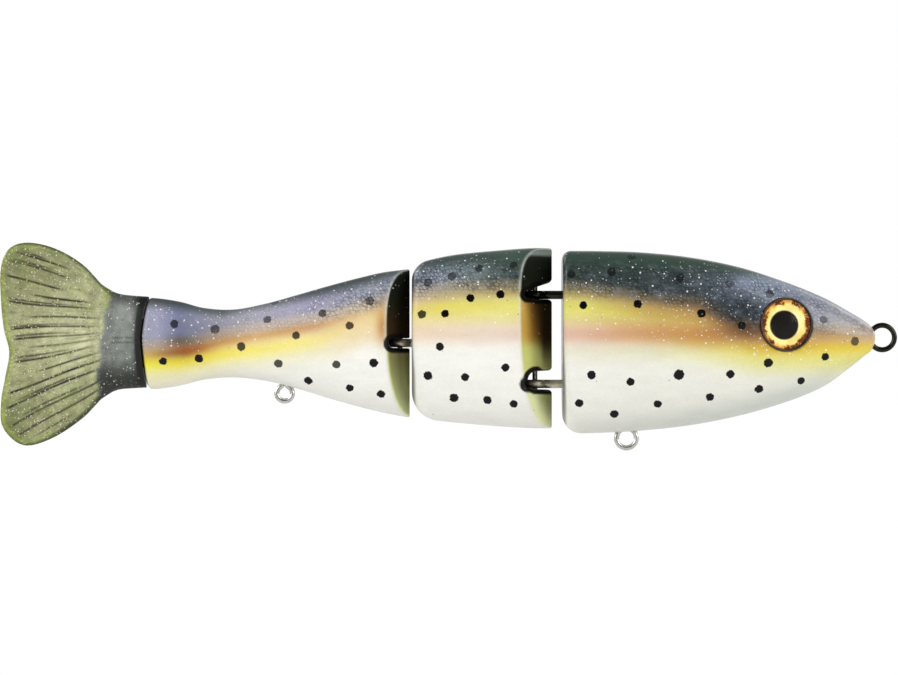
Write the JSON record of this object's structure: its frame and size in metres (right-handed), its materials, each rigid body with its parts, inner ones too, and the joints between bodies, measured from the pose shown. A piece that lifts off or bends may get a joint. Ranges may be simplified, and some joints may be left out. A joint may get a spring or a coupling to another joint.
{
  "type": "jointed swimbait",
  "caption": "Fish-shaped jointed fishing lure with pinned V joints, a line tie at the nose, hook hangers under the belly and a soft flexible tail fin.",
  "frame": {"origin": "centre of the line tie's ring at the nose", "axes": "+X out of the nose, +Y out of the left flank, +Z out of the back"},
  "size_m": [0.2108, 0.0222, 0.0488],
  "materials": {
    "head_paint": "painted trout pattern under a thick epoxy clear coat",
    "middle_paint": "painted trout pattern under a thick epoxy clear coat",
    "tail_paint": "painted trout pattern under a thick epoxy clear coat",
    "black_nickel": "black nickel plated wire",
    "dark_nickel": "dark nickel plated wire",
    "bright_nickel": "bright nickel plated wire",
    "pin_steel": "stainless wire",
    "eye_foil": "printed gold foil with a black pupil",
    "eye_dome": "clear cast resin",
    "lead": "cast lead",
    "plug_resin": "filled resin",
    "soft_boot": "soft moulded plastic with glitter",
    "soft_fin": "soft translucent plastic with glitter"
  },
  "bodies": {
    "head": {"head_section": "head_paint", "line_tie": "black_nickel", "front_hook_hanger": "bright_nickel", "upper_hinge_eye": "dark_nickel", "lower_hinge_eye": "dark_nickel", "right_eye_foil": "eye_foil", "right_eye_dome": "eye_dome", "left_eye_foil": "eye_foil", "left_eye_dome": "eye_dome", "head_ballast": "lead", "head_ballast_plugs": "plug_resin"},
    "middle": {"middle_section": "middle_paint", "front_hinge_pin": "pin_steel", "front_pin_plug": "plug_resin", "rear_hinge_eye": "dark_nickel", "middle_ballast": "lead", "middle_ballast_plug": "plug_resin"},
    "tail": {"tail_section": "tail_paint", "rear_hinge_pin": "pin_steel", "rear_pin_plug": "plug_resin", "rear_hook_hanger": "bright_nickel", "tail_ballast": "lead", "tail_ballast_plug": "plug_resin", "boot_pin": "pin_steel", "boot_pin_plug": "plug_resin", "tail_boot": "soft_boot"},
    "fin": {"tail_fin": "soft_fin"}
  },
  "joints": [
    {"name": "front_joint", "type": "hinge", "parent": "head", "child": "middle", "pos_m": [-0.0816, 0, 0], "axis": [0, 0, 1], "range_deg": [-45, 45]},
    {"name": "rear_joint", "type": "hinge", "parent": "middle", "child": "tail", "pos_m": [-0.1133, 0, 0], "axis": [0, 0, 1], "range_deg": [-36, 36]},
    {"name": "tail_flex", "type": "hinge", "parent": "tail", "child": "fin", "pos_m": [-0.1822, 0, 0], "axis": [0, 0, 1], "range_deg": [-35, 35], "stiffness_Nm_per_rad": 0.004}
  ]
}
